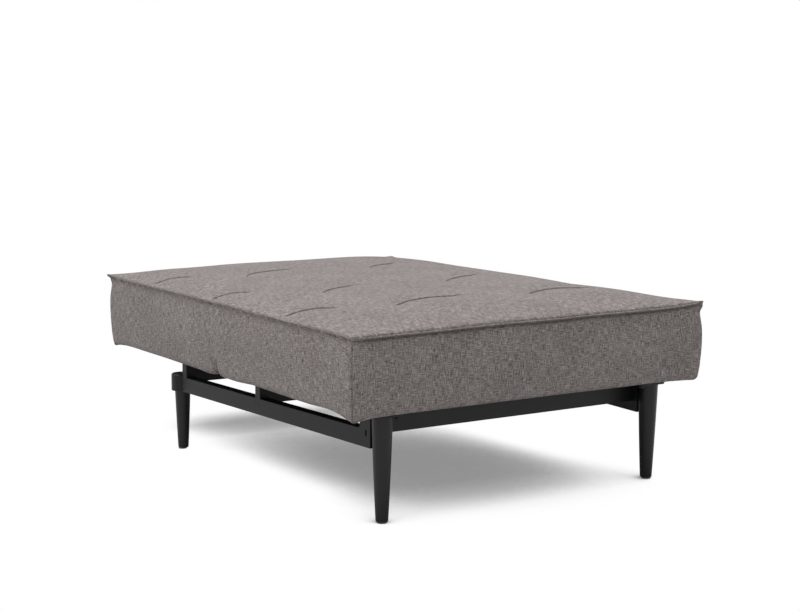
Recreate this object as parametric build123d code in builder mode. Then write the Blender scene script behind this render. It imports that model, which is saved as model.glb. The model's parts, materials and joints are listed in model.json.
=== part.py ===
# Chair bed: a seat and a back that lie flat as a bed, on a low steel frame with four turned legs.
# X runs across the bed, Y from the foot end to the head end and Z up. The origin is on the floor
# under the middle of the mattress. The back turns up about two pins hidden inside it near the fold.
import os
from math import atan2, cos, degrees, hypot, pi, radians, sin, sqrt

from build123d import *

os.makedirs("parts", exist_ok=True)

# Mattress
bed_width = 900.0
seat_length = 610.0
back_length = 610.0
mattress_bottom = 224.0
panel_height = 161.0
crown_rise = 40.0
end_rise = 3.0
crown_shoulder = 150.0
shoulder_rise_share = 0.86
shoulder_middle_shares = (0.42, 0.5)
side_bulge = 5.0
side_draw = 5.0
end_draw = 5.0
bottom_round = 14.0
bottom_round_steps = 3
flange_reach = 5.0
flange_thickness = 4.0

# Fold between the two cushions
pivot_back = 90.0
pivot_height = 110.0
fold_radius = 115.0
cushion_gap = 0.6
seat_tip_back = 30.0
soft_gap = 0.3

# Sewn tufts
tuft_radius = 600.0
tuft_depth = 9.0
tuft_width = 5.0
tuft_turn = 25.0

# Tufts: share of half the width with the share of the crown there, then shares of each cushion's length
tuft_column_shares = ((-0.78, 0.7), (-0.16, 0.99), (0.62, 0.87))
seat_tuft_row_shares = (0.4, 0.9)
back_tuft_row_share = 0.6

# Legs
front_leg_side_inset = 99.5
rear_leg_side_inset = 33.5
front_leg_inset = 47.5
rear_leg_back = 228.5
leg_foot_diameter = 25.0
leg_swell = 0.6
leg_top_diameter = 42.0
leg_gap = 1.0
leg_foot_bevel = 1.5
leg_rings = 5
leg_sides = 20
glide_diameter = 20.0
glide_height = 3.0
stud_diameter = 8.0
stud_length = 50.0
stud_grip = 3.5

# Sockets of the rear legs
socket_diameter = 50.0
socket_height = 41.0
socket_wall = 7.0
socket_top = 8.0
socket_bevel = 3.0
tenon_gap = 0.2

# Side rails
rail_width = 25.0
rail_height = 36.0
rail_bottom = 146.0
rail_wall = 2.5
upright_depth = 31.0
upright_fillet = 6.0
relief_station = 33.0
relief_length = 13.0
relief_width = 5.0
notch_gap = 0.2

# Brackets over the front legs
frame_drop = 7.0
bracket_thickness = 3.0
leg_plate_thickness = 4.0
leg_plate_inner_reach = 38.0
leg_plate_outer_reach = 30.0
leg_plate_front = 21.0
leg_plate_corner = 6.0

# Cross members
cross_depth = 19.0
cross_wall = 2.0
cross_bottom = 171.0
front_cross_bottom = 168.5
front_cross_inset = 50.0
mid_cross_ahead = 134.5
rear_cross_inset = 37.0
rest_pad_height = 2.0
rest_pad_size = 16.0

# Seat and back frames inside the cushions
tube = 25.0
tube_wall = 2.0
seat_frame_side_inset = 70.0
frame_end_inset = 25.0
seat_frame_rear_inset = 4.0
back_frame_start = 30.0
dust_cover = 1.5
bolt_diameter = 8.0
bolt_head_diameter = 13.0
bolt_head_height = 5.5
hexagon_sides = 6
bolt_inset = 8.0
bolt_hole_gap = 0.3
bolt_grip = 6.0

# Webbing across the two frames
webbing_width = 60.0
webbing_thickness = 1.5
webbing_count = 5

# Hinges
plate_thickness = 5.0
plate_space = 1.0
strap_reach = 120.0
strap_corner = 4.0
arm_reach = 150.0
hub_radius = 14.0
hub_space = 58.0
ratchet_root_radius = 30.0
ratchet_tip_radius = 36.0
ratchet_teeth = 8
ratchet_start_angle = 150.0
ratchet_tooth_angle = 11.0
tooth_lean_share = 0.15
pin_diameter = 12.0
pin_head_diameter = 20.0
pin_head_height = 3.0
pin_gap = 0.05
washer_diameter = 24.0
latch_thickness = 4.0
latch_angle = 233.0
latch_pin_radius = 66.0
latch_eye_radius = 8.0
latch_tip_gap = 1.2
latch_tip_width = 5.0
latch_pin_diameter = 6.0
slot_gap = 0.6
back_turn = 70.0
slot_overrun = 5.0
overrun = 20.0
full_turn = 360.0

# Worked-out places
half_width = bed_width / 2
foot_y = -(seat_length + back_length) / 2
fold_y = foot_y + seat_length
head_y = -foot_y
seam_z = mattress_bottom + panel_height
base_top = mattress_bottom - frame_drop
frame_top = base_top + tube
pocket_top = frame_top + webbing_thickness + soft_gap
pivot_y = fold_y + pivot_back
pivot_z = mattress_bottom + pivot_height
front_leg_x = half_width - front_leg_side_inset
rear_leg_x = half_width - rear_leg_side_inset
front_leg_y = foot_y + front_leg_inset
rear_leg_y = fold_y + rear_leg_back
leg_base = rear_leg_y - front_leg_y
leg_splay_run = rear_leg_x - front_leg_x
front_cross_y = front_leg_y + front_cross_inset
mid_cross_y = fold_y - mid_cross_ahead
rear_cross_y = rear_leg_y - rear_cross_inset
rail_run = hypot(leg_splay_run, leg_base)
rail_top = rail_bottom + rail_height
leg_radius = leg_top_diameter / 2
bracket_front = leg_radius + leg_gap
bracket_back = bracket_front + bracket_thickness
upright_back = bracket_back + upright_depth
leg_plate_bottom = base_top - leg_plate_thickness
socket_bottom = rail_bottom
socket_roof = socket_bottom + socket_height - socket_top
seat_frame_half = half_width - seat_frame_side_inset
back_frame_half = seat_frame_half - plate_thickness - plate_space
seat_frame_front = foot_y + frame_end_inset
seat_frame_rear = pivot_y - sqrt(fold_radius**2 - (pivot_z - pocket_top) ** 2) - seat_frame_rear_inset
back_frame_front = pivot_y + back_frame_start
back_frame_rear = head_y - frame_end_inset


def save(piece, name):
    """Labels a finished sub-part and writes it as its own STEP file."""
    piece.part.label = name
    export_step(piece.part, f"parts/{name}.step")
    return piece.part


def rail_plane(side):
    """The upright plane through the front and rear leg axes of one side: x along the rail, y up."""
    along = (side * leg_splay_run / rail_run, leg_base / rail_run, 0)
    across = (along[1], -along[0], 0)
    return Plane(origin=(side * front_leg_x, front_leg_y, 0), x_dir=along, z_dir=across)


# The whole mattress, from which the two cushions are cut
def mattress_section(y, half, rise):
    """One slice across the mattress: flat bottom, rounded lower edges, bulged sides and a crown."""
    shoulder = crown_shoulder * half / half_width
    shoulder_z = seam_z + rise * shoulder_rise_share
    middle_out, middle_up = shoulder_middle_shares
    turns = [pi / 2 * step / bottom_round_steps for step in range(bottom_round_steps + 1)]
    with BuildSketch(Plane.XZ.offset(-y)) as section:
        with BuildLine():
            Line((-half + bottom_round, mattress_bottom), (half - bottom_round, mattress_bottom))
            for side in (-1, 1):
                edge = side * half
                lower = mattress_bottom + bottom_round
                inner = edge - side * bottom_round
                corner = [(inner + side * bottom_round * sin(a), lower - bottom_round * cos(a)) for a in turns]
                Polyline(*corner)
                ThreePointArc((edge, lower), (edge + side * side_bulge, (lower + seam_z) / 2), (edge, seam_z))
                ThreePointArc(
                    (edge, seam_z),
                    (edge - side * shoulder * middle_out, seam_z + rise * middle_up),
                    (edge - side * shoulder, shoulder_z),
                )
            ThreePointArc((-half + shoulder, shoulder_z), (0, seam_z + rise), (half - shoulder, shoulder_z))
        make_face()
    return section.sketch


# Stations along the mattress as shares of its half length, with the shares of the draw and the rise there
mattress_shares = (
    (-1.0, 0.0, 0.0),
    (-0.93, 0.25, 0.42),
    (-0.82, 0.6, 0.8),
    (-0.5, 1.0, 1.0),
    (0.0, 0.6, 0.96),
    (0.5, 1.0, 1.0),
    (0.82, 0.6, 0.8),
    (0.93, 0.25, 0.42),
    (1.0, 0.0, 0.0),
)
sections = [
    mattress_section(along * head_y, half_width - draw * side_draw, end_rise + up * (crown_rise - end_rise))
    for along, draw, up in mattress_shares
]

with BuildPart() as mattress:
    loft(sections, ruled=True)
    # The sewn flange stands out all round at the height of the seam
    with BuildSketch(Plane.XY.offset(seam_z - flange_thickness)):
        with BuildLine():
            rim_x = half_width + flange_reach
            rim_y = head_y + flange_reach
            for side in (-1, 1):
                ThreePointArc((-rim_x, side * rim_y), (0, side * (rim_y - end_draw)), (rim_x, side * rim_y))
                ThreePointArc((side * rim_x, -rim_y), (side * (rim_x - side_draw), 0), (side * rim_x, rim_y))
        make_face()
    extrude(amount=flange_thickness)


def tuft_cutter(x, y, rise):
    """A thin blade with a curved edge: where it dips into the crown it leaves one sewn crease."""
    bottom = seam_z + crown_rise * rise - tuft_depth
    reach = sqrt(tuft_radius**2 - (tuft_radius - 2 * tuft_depth) ** 2)
    with BuildPart() as cutter:
        with BuildSketch(Plane.XZ):
            with BuildLine():
                ThreePointArc((-reach, 2 * tuft_depth), (0, 0), (reach, 2 * tuft_depth))
                Line((reach, 2 * tuft_depth), (-reach, 2 * tuft_depth))
            make_face()
        extrude(amount=tuft_width / 2, both=True)
    return Pos(x, y, bottom) * Rot(0, 0, tuft_turn) * cutter.part


def tufted(cushion, row_ys):
    """The cushion with its rows of creases cut."""
    for y in row_ys:
        for column, rise in tuft_column_shares:
            cushion = cushion - tuft_cutter(column * half_width, y, rise)
    return cushion


def at_pivot(radius, angle):
    """A point in the upright plane along the bed, given round the pivot in degrees from +Y."""
    return (pivot_y + radius * cos(radians(angle)), pivot_z + radius * sin(radians(angle)))


def hull_between(first, first_radius, second, second_radius):
    """The outline of a flat link with a round end at each of two points."""
    with BuildSketch() as link:
        with BuildLine():
            CenterArc(first, first_radius, 0, full_turn)
            CenterArc(second, second_radius, 0, full_turn)
        make_hull()
    return link.sketch


def strap_outline(end, start_y, stop_y, grow):
    """The outline of a hinge strap: a hub at the pivot, an arm down to end, and a foot along the tube."""
    with BuildSketch() as outline:
        add(hull_between(pivot, hub_radius + grow, end, tube / 2 + grow))
        with Locations(((start_y + stop_y) / 2, base_top + tube / 2)):
            RectangleRounded(stop_y - start_y + 2 * grow, tube + 2 * grow, strap_corner)
    return outline.sketch


pivot = (pivot_y, pivot_z)
seat_strap_end = (seat_frame_rear - tube / 2, base_top + tube / 2)
back_strap_end = (back_frame_front + tube / 2, base_top + tube / 2)


def seat_strap_outline(grow):
    return strap_outline(seat_strap_end, seat_frame_rear - strap_reach, seat_frame_rear, grow)


def back_strap_outline(grow):
    return strap_outline(back_strap_end, back_frame_front, back_frame_front + arm_reach, grow)


def fold_region(radius, start_y):
    """The back's side of the fold: a round end about the pivot and everything behind it."""
    with BuildSketch() as region:
        with Locations((pivot_y, pivot_z)):
            Circle(radius)
        with Locations(((start_y + head_y + overrun) / 2, pivot_z)):
            Rectangle(head_y + overrun - start_y, 2 * pivot_height + 2 * overrun)
    return region.sketch


def hub_region():
    """The space inside the back for the hub, the latch and the seat's strap as the back turns."""
    strap_angle = degrees(atan2(seat_strap_end[1] - pivot_z, seat_strap_end[0] - pivot_y)) % full_turn
    spread = degrees(atan2(hub_radius + slot_gap, hub_space))
    low, high = strap_angle + spread, strap_angle - back_turn - spread
    reach = fold_radius + slot_overrun
    with BuildSketch() as space:
        with BuildLine():
            Line((pivot_y, pivot_z), at_pivot(reach, high))
            ThreePointArc(at_pivot(reach, high), at_pivot(reach, (low + high) / 2), at_pivot(reach, low))
            Line(at_pivot(reach, low), (pivot_y, pivot_z))
        make_face()
        with Locations((pivot_y, pivot_z)):
            Circle(hub_space)
    return space.sketch


# Seat cushion
slot_inner = back_frame_half - pin_head_height - plate_space
slot_outer = seat_frame_half + plate_thickness + pin_head_height + plate_space
slot_width = slot_outer - slot_inner

with BuildPart() as seat_cushion:
    add(mattress.part)
    with BuildSketch(Plane.YZ):
        add(fold_region(fold_radius + cushion_gap, fold_y + seat_tip_back))
    extrude(amount=half_width + overrun, both=True, mode=Mode.SUBTRACT)
    # Pocket for the frame under the seat
    with BuildSketch(Plane.XY.offset(pocket_top)):
        pocket_front = seat_frame_front - soft_gap
        pocket_rear = seat_frame_rear + soft_gap
        with Locations((0, (pocket_front + pocket_rear) / 2)):
            Rectangle(2 * slot_outer, pocket_rear - pocket_front)
    extrude(amount=-(pocket_top - mattress_bottom + overrun), mode=Mode.SUBTRACT)
    # Slots for the two hinge straps
    for side in (-1, 1):
        with BuildSketch(Plane.YZ.offset(side * slot_inner)):
            add(seat_strap_outline(slot_gap))
        extrude(amount=side * slot_width, mode=Mode.SUBTRACT)
seat_cushion.part = tufted(seat_cushion.part, [foot_y + row * seat_length for row in seat_tuft_row_shares])
save(seat_cushion, "seat_cushion")

# Back cushion
with BuildPart() as back_cushion:
    add(mattress.part)
    with BuildSketch(Plane.YZ):
        add(fold_region(fold_radius, pivot_y))
    extrude(amount=half_width + overrun, both=True, mode=Mode.INTERSECT)
    with BuildSketch(Plane.XY.offset(pocket_top)):
        pocket_front = back_frame_front - soft_gap
        pocket_rear = back_frame_rear + soft_gap
        with Locations((0, (pocket_front + pocket_rear) / 2)):
            Rectangle(2 * slot_outer, pocket_rear - pocket_front)
    extrude(amount=-(pocket_top - mattress_bottom + overrun), mode=Mode.SUBTRACT)
    for side in (-1, 1):
        with BuildSketch(Plane.YZ.offset(side * slot_inner)):
            add(hub_region())
            add(back_strap_outline(slot_gap))
        extrude(amount=side * slot_width, mode=Mode.SUBTRACT)
back_cushion.part = tufted(back_cushion.part, [fold_y + back_tuft_row_share * back_length])
save(back_cushion, "back_cushion")


frame_mid_z = base_top + tube / 2

# Bolts that hold the seat to the base, from below: two through the leg plates, two through a cross member
front_bolt_x = front_leg_x - leg_plate_inner_reach + bolt_inset
mid_bolt_x = seat_frame_half - tube + bolt_inset
front_bolts = [(side * front_bolt_x, seat_frame_front + tube / 2) for side in (-1, 1)]
mid_bolts = [(side * mid_bolt_x, mid_cross_y) for side in (-1, 1)]


def bolt(place, seat_z):
    """A hexagon bolt whose head bears up against seat_z."""
    with BuildPart() as piece:
        with BuildSketch(Plane.XY.offset(seat_z)):
            with Locations(place):
                RegularPolygon(bolt_head_diameter / 2, hexagon_sides)
        extrude(amount=-bolt_head_height)
        with BuildSketch(Plane.XY.offset(seat_z)):
            with Locations(place):
                Circle(bolt_diameter / 2)
        extrude(amount=base_top + tube_wall + bolt_grip - seat_z)
    return piece.part


with BuildPart() as frame_bolts:
    for place in front_bolts:
        add(bolt(place, leg_plate_bottom))
    for place in mid_bolts:
        add(bolt(place, base_top - cross_wall))
save(frame_bolts, "frame_bolts")

with BuildPart() as bolt_drill:
    with BuildSketch(Plane.XY.offset(rail_bottom)):
        with Locations(*front_bolts, *mid_bolts):
            Circle(bolt_diameter / 2 + bolt_hole_gap)
    extrude(amount=frame_mid_z - rail_bottom)


# Steel frames inside the two cushions
def square_tube(plane, centre, length):
    """An open-ended square tube on a plane, from the plane along its normal."""
    with BuildPart() as piece:
        with BuildSketch(plane):
            with Locations(centre):
                RectangleRounded(tube, tube, tube_wall)
                Rectangle(tube - 2 * tube_wall, tube - 2 * tube_wall, mode=Mode.SUBTRACT)
        extrude(amount=length)
        add(bolt_drill.part, mode=Mode.SUBTRACT)
    return piece


for name, half, front, rear in (
    ("seat", seat_frame_half, seat_frame_front, seat_frame_rear),
    ("back", back_frame_half, back_frame_front, back_frame_rear),
):
    for side, label in ((-1, "left"), (1, "right")):
        centre = (side * (half - tube / 2), frame_mid_z)
        save(square_tube(Plane.XZ.offset(-rear), centre, rear - front), f"{name}_side_tube_{label}")
    inner = half - tube
    for y, label in ((front + tube / 2, "front"), (rear - tube / 2, "rear")):
        cross = square_tube(Plane.YZ.offset(-inner), (y, frame_mid_z), 2 * inner)
        save(cross, f"{name}_cross_tube_{label}")
    # Thin cover that closes the underside between the tubes
    with BuildPart() as cover:
        with BuildSketch(Plane.XY.offset(base_top + tube_wall)):
            with Locations((0, (front + rear) / 2)):
                Rectangle(2 * (inner - soft_gap), rear - front - 2 * (tube + soft_gap))
        extrude(amount=dust_cover)
    save(cover, f"{name}_dust_cover")
    # Elastic bands over the tubes, from side to side, that carry the cushion
    with BuildPart() as bands:
        with BuildSketch(Plane.XY.offset(frame_top)):
            pitch = (rear - front) / (webbing_count + 1)
            with Locations(*[(0, front + pitch * (band + 1)) for band in range(webbing_count)]):
                Rectangle(2 * half, webbing_width)
        extrude(amount=webbing_thickness)
    save(bands, f"{name}_webbing")


# Hinges
def hinge_bolts(centre, diameter, head, inner_x, outer_x, head_height):
    """Two round pins along X, one each side, with a hexagon at both ends."""
    with BuildPart() as pair:
        for side in (-1, 1):
            with BuildSketch(Plane.YZ.offset(side * (inner_x - head_height))):
                with Locations(centre):
                    RegularPolygon(head / 2, hexagon_sides)
            extrude(amount=side * head_height)
            with BuildSketch(Plane.YZ.offset(side * inner_x)):
                with Locations(centre):
                    Circle(diameter / 2)
            extrude(amount=side * (outer_x - inner_x))
            with BuildSketch(Plane.YZ.offset(side * outer_x)):
                with Locations(centre):
                    RegularPolygon(head / 2, hexagon_sides)
            extrude(amount=side * head_height)
    return pair


latch_pin = at_pivot(latch_pin_radius, latch_angle)
latch_tip_radius = ratchet_tip_radius + latch_tip_gap + latch_tip_width / 2
latch_tip = at_pivot(latch_tip_radius, latch_angle - ratchet_tooth_angle)
arm_inner = back_frame_half
arm_outer = back_frame_half + plate_thickness
strap_inner = seat_frame_half
strap_outer = seat_frame_half + plate_thickness

for side, label in ((-1, "left"), (1, "right")):
    # The seat's strap carries the pivot pin and the latch
    with BuildPart() as hinge_strap:
        with BuildSketch(Plane.YZ.offset(side * strap_inner)):
            add(seat_strap_outline(0))
            add(hull_between(latch_pin, latch_eye_radius + plate_space, pivot, hub_radius))
            with Locations(pivot):
                Circle(pin_diameter / 2 + pin_gap, mode=Mode.SUBTRACT)
            with Locations(latch_pin):
                Circle(latch_pin_diameter / 2 + pin_gap, mode=Mode.SUBTRACT)
        extrude(amount=side * plate_thickness)
    save(hinge_strap, f"seat_hinge_strap_{label}")

    # The back's strap ends in a toothed quarter that the latch drops into
    with BuildPart() as toothed_strap:
        with BuildSketch(Plane.YZ.offset(side * arm_inner)):
            add(back_strap_outline(0))
            with BuildLine():
                corners = [pivot]
                for tooth in range(ratchet_teeth):
                    angle = ratchet_start_angle + tooth * ratchet_tooth_angle
                    tip_angle = angle + ratchet_tooth_angle * tooth_lean_share
                    corners.append(at_pivot(ratchet_root_radius, angle))
                    corners.append(at_pivot(ratchet_tip_radius, tip_angle))
                corners.append(at_pivot(ratchet_root_radius, angle + ratchet_tooth_angle))
                Polyline(*corners, close=True)
            make_face()
            with Locations(pivot):
                Circle(pin_diameter / 2 + pin_gap, mode=Mode.SUBTRACT)
        extrude(amount=side * plate_thickness)
    save(toothed_strap, f"back_hinge_strap_{label}")

pivot_bolts = hinge_bolts(pivot, pin_diameter, pin_head_diameter, arm_inner, strap_outer, pin_head_height)
save(pivot_bolts, "pivot_pins")
latch_head = latch_pin_diameter + 2 * tube_wall
latch_inner = arm_outer - latch_thickness
latch_bolts = hinge_bolts(latch_pin, latch_pin_diameter, latch_head, latch_inner, strap_outer, tube_wall)
save(latch_bolts, "latch_pins")

# Thin washers between the straps of each hinge
with BuildPart() as pivot_washers:
    for side in (-1, 1):
        with BuildSketch(Plane.YZ.offset(side * (arm_outer + pin_gap))):
            with Locations(pivot):
                Circle(washer_diameter / 2)
                Circle(pin_diameter / 2 + pin_gap, mode=Mode.SUBTRACT)
        extrude(amount=side * (plate_space - 2 * pin_gap))
save(pivot_washers, "pivot_washers")

# The latches ride on the seat's straps and drop between the teeth of the back's straps
with BuildPart() as latches:
    for side in (-1, 1):
        with BuildSketch(Plane.YZ.offset(side * latch_inner)):
            add(hull_between(latch_pin, latch_eye_radius, latch_tip, latch_tip_width / 2))
            with Locations(latch_pin):
                Circle(latch_pin_diameter / 2 + pin_gap, mode=Mode.SUBTRACT)
        extrude(amount=side * (latch_thickness + plate_space))
save(latches, "latches")


# Base frame
def cross_bar(y, bottom, top, reach, inset):
    """A bar from side to side, its ends cut along the splayed rails, inset on every side but the lower one."""
    with BuildPart() as bar:
        with BuildSketch(Plane.YZ.offset(-half_width)):
            with Locations((y, (bottom + top - inset) / 2)):
                Rectangle(cross_depth - 2 * inset, top - inset - bottom)
        extrude(amount=bed_width)
        split(bisect_by=rail_plane(-1).offset(inset - reach), keep=Keep.TOP)
        split(bisect_by=rail_plane(1).offset(reach - inset), keep=Keep.BOTTOM)
    return bar.part


def cross_member(y, bottom, top, reach):
    """A channel open below, closed at both ends."""
    with BuildPart() as member:
        add(cross_bar(y, bottom, top, reach, 0))
        add(cross_bar(y, bottom, top, reach, cross_wall), mode=Mode.SUBTRACT)
        add(bolt_drill.part, mode=Mode.SUBTRACT)
    return member


rear_cross_top = base_top - rest_pad_height
members = (
    ("front_cross_member", front_cross_y, front_cross_bottom, leg_plate_bottom, -rail_width / 2 - notch_gap),
    ("mid_cross_member", mid_cross_y, cross_bottom, base_top, rail_width / 2),
    ("rear_cross_member", rear_cross_y, cross_bottom, rear_cross_top, rail_width / 2),
)
for name, y, bottom, top, reach in members:
    save(cross_member(y, bottom, top, reach), name)

# Small pads on the rear cross member, under the back's tubes
with BuildPart() as rest_pads:
    with BuildSketch(Plane.XY.offset(rear_cross_top)):
        with Locations(*[(side * (back_frame_half - tube / 2), rear_cross_y) for side in (-1, 1)]):
            Rectangle(rest_pad_size, rest_pad_size)
    extrude(amount=rest_pad_height - soft_gap)
save(rest_pads, "rest_pads")

for side, label in ((-1, "left"), (1, "right")):
    plane = rail_plane(side)
    axle = side * rear_leg_x
    # A channel open below, with an upright and a closed end behind the front leg
    with BuildPart() as rail:
        with BuildSketch(plane) as view:
            with BuildLine():
                Polyline(
                    (bracket_front, rail_bottom),
                    (rail_run, rail_bottom),
                    (rail_run, rail_top),
                    (upright_back, rail_top),
                    (upright_back, leg_plate_bottom),
                    (bracket_front, leg_plate_bottom),
                    close=True,
                )
            make_face()
            fillet(view.vertices().sort_by_distance((upright_back, rail_top, 0))[0], upright_fillet)
        extrude(amount=rail_width / 2, both=True)
        with BuildSketch(plane):
            with BuildLine():
                Polyline(
                    (bracket_back, rail_bottom - overrun),
                    (rail_run, rail_bottom - overrun),
                    (rail_run, rail_top - rail_wall),
                    (upright_back - rail_wall, rail_top - rail_wall),
                    (upright_back - rail_wall, leg_plate_bottom - rail_wall),
                    (bracket_back, leg_plate_bottom - rail_wall),
                    close=True,
                )
            make_face()
        extrude(amount=rail_width / 2 - rail_wall, both=True, mode=Mode.SUBTRACT)
        # Relief slot at the bend of the end plate, in the outer wall
        with BuildSketch(plane.offset(side * (rail_width / 2 - rail_wall))):
            with Locations((relief_station + relief_width / 2, rail_top - relief_length / 2)):
                SlotOverall(relief_length, relief_width - notch_gap, rotation=90)
        extrude(amount=side * rail_wall, mode=Mode.SUBTRACT)
        # Notches for the cross members
        with BuildSketch(Plane.YZ.offset(side * half_width)):
            for y in (mid_cross_y, rear_cross_y):
                with Locations((y, cross_bottom + rail_height)):
                    Rectangle(cross_depth + 2 * notch_gap, 2 * (rail_height + notch_gap))
        extrude(amount=-side * half_width, mode=Mode.SUBTRACT)
        with BuildSketch(Plane.XY.offset(socket_bottom)):
            with Locations((axle, rear_leg_y)):
                Circle(socket_diameter / 2 + notch_gap)
        extrude(amount=socket_height, mode=Mode.SUBTRACT)
    save(rail, f"side_rail_{label}")

front_places = [(side * front_leg_x, front_leg_y) for side in (-1, 1)]
rear_places = [(side * rear_leg_x, rear_leg_y) for side in (-1, 1)]
stud_hole = stud_diameter / 2 + tenon_gap


def round_bars(places, z, radius, height):
    """Round bars at some places, from z along Z, to cut holes with."""
    with BuildPart() as bars:
        with BuildSketch(Plane.XY.offset(z)):
            with Locations(*places):
                Circle(radius)
        extrude(amount=height)
    return bars.part


with BuildPart() as rear_leg_sockets:
    with BuildSketch(Plane.XY.offset(socket_bottom)):
        with Locations(*rear_places):
            Circle(socket_diameter / 2)
    extrude(amount=socket_height)
    chamfer(rear_leg_sockets.edges().group_by(Axis.Z)[-1], socket_bevel)
    bore_radius = socket_diameter / 2 - socket_wall
    add(round_bars(rear_places, socket_bottom, bore_radius, socket_height - socket_top), mode=Mode.SUBTRACT)
    add(round_bars(rear_places, socket_roof, stud_hole, stud_grip + tenon_gap), mode=Mode.SUBTRACT)
save(rear_leg_sockets, "rear_leg_sockets")

# Plates over the front legs, under the seat's frame
with BuildPart() as front_leg_plates:
    plate_width = leg_plate_inner_reach + leg_plate_outer_reach
    plate_depth = leg_plate_front + upright_back
    plate_x = front_leg_x + leg_plate_outer_reach - plate_width / 2
    plate_y = front_leg_y - leg_plate_front + plate_depth / 2
    with BuildSketch(Plane.XY.offset(leg_plate_bottom)):
        with Locations(*[(side * plate_x, plate_y) for side in (-1, 1)]):
            RectangleRounded(plate_width, plate_depth, leg_plate_corner)
    extrude(amount=leg_plate_thickness)
    add(round_bars(front_places, leg_plate_bottom, stud_hole, leg_plate_thickness), mode=Mode.SUBTRACT)
    add(bolt_drill.part, mode=Mode.SUBTRACT)
save(front_leg_plates, "front_leg_plates")


# Turned legs
stud_depth = stud_length - stud_grip
tenon_top = socket_roof - tenon_gap


def leg_sections():
    """Heights and radii up a leg: a bevelled foot, then a gentle swell to the top."""
    foot = leg_foot_diameter / 2
    yield glide_height, foot - leg_foot_bevel
    yield glide_height + leg_foot_bevel, foot
    for ring in range(1, leg_rings + 1):
        share = ring / leg_rings
        swell = leg_swell * 4 * share * (1 - share)
        yield leg_plate_bottom * share, foot + (leg_radius - foot) * share + swell


def turned_legs(places, top):
    """Two legs with many narrow sides, either full height or with a tenon for a socket."""
    with BuildPart() as legs:
        for place in places:
            for z, radius in leg_sections():
                with BuildSketch(Plane.XY.offset(z)):
                    with Locations(place):
                        RegularPolygon(radius, leg_sides)
            loft(ruled=True)
        if top < leg_plate_bottom:
            split(bisect_by=Plane.XY.offset(socket_bottom), keep=Keep.BOTTOM)
            add(round_bars(places, socket_bottom, bore_radius - tenon_gap, top - socket_bottom))
        add(round_bars(places, top, stud_hole, -stud_depth - tenon_gap), mode=Mode.SUBTRACT)
    return legs


save(turned_legs(front_places, leg_plate_bottom), "front_legs")
save(turned_legs(rear_places, tenon_top), "rear_legs")

with BuildPart() as leg_studs:
    for places, top in ((front_places, leg_plate_bottom), (rear_places, tenon_top)):
        with BuildSketch(Plane.XY.offset(top + stud_grip)):
            with Locations(*places):
                Circle(stud_diameter / 2)
        extrude(amount=-stud_length)
save(leg_studs, "leg_studs")

with BuildPart() as foot_glides:
    with BuildSketch():
        with Locations(*front_places, *rear_places):
            RegularPolygon(glide_diameter / 2, leg_sides)
    extrude(amount=glide_height)
save(foot_glides, "foot_glides")
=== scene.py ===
import json
from math import cos, exp, hypot, pi, radians, sin

import bmesh
import bpy
from mathutils import Matrix, Vector, noise


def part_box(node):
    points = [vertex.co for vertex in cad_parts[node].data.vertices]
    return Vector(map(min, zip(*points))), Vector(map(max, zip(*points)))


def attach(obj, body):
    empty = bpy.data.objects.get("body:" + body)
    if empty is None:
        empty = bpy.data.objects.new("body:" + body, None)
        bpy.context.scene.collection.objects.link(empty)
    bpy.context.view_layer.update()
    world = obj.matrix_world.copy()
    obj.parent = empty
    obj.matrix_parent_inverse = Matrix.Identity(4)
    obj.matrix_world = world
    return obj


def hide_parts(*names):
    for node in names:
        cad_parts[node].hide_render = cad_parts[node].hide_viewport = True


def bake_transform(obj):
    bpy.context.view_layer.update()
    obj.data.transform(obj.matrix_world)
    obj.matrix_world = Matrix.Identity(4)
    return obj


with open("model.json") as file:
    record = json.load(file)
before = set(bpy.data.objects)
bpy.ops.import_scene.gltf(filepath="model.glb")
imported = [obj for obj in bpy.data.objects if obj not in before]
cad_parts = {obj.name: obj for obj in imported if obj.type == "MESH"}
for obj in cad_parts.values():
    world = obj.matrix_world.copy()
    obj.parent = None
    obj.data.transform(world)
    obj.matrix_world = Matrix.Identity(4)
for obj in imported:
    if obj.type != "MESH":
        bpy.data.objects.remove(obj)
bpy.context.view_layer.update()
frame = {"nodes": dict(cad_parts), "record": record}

# The mattress
HALF_WIDTH = 0.45
HALF_LENGTH = 0.61
BOTTOM = 0.2185
SEAM_TOP = 0.3845
SIDE_HEIGHT = SEAM_TOP - BOTTOM
CORNER_RADIUS = 0.007
BOTTOM_RADIUS = 0.013
BOTTOM_STEPS = 8
# The pocket for the frames in its underside, and a ring between the lower edge and the pocket, which lies
# these shares of the way in and down
POCKET_X = 0.389
POCKET_Y = 0.5853
POCKET_TOP = 0.2437
POCKET_RIM_UP = 0.0006
UNDERSIDE_IN = 0.35
UNDERSIDE_DOWN = 0.6

# The crown rises from a rim above the seam, over a band along the edges
CROWN = 0.031
RIM_UP = 0.0065
CROWN_BAND = 0.32
CROWN_POWER = 3.8
# The top falls into a narrow valley beside the flange, less deep along the sides and the rear, with painted
# shade in it
VALLEY_DEPTH = 0.0045
VALLEY_WIDTH = 0.0022
VALLEY_SIDE_SHARE = 0.4
PAINTED_VALLEY_SHADE = 0.6

# The sides are drawn in between the corners, with a waist under the seam and a bulge further down
SIDE_DRAW = 0.005
WAIST = 0.0025
WAIST_DEPTH = 0.006
WAIST_REACH = 0.016
BULGE = 0.0035
BULGE_START = 0.012
BULGE_HEIGHT = 0.13
# Depths of the mesh rows down the sides; the first lies in the groove under the flange
SIDE_DEPTHS = (0.0035, 0.005, 0.0067, 0.009, 0.0125, 0.018, 0.025, 0.034)
SIDE_DEPTHS += (0.045, 0.058, 0.072, 0.086, 0.1, 0.113, 0.125, 0.135)
# The groove, how much of it is missing on the sides and the rear, and the painted shade in it
GROOVE = 0.003
GROOVE_REACH = 0.003
GROOVE_LOSS = 0.6
PAINTED_GROOVE_SHADE = 0.5
PAINTED_GROOVE_SHADE_REACH = 0.0026
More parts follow.
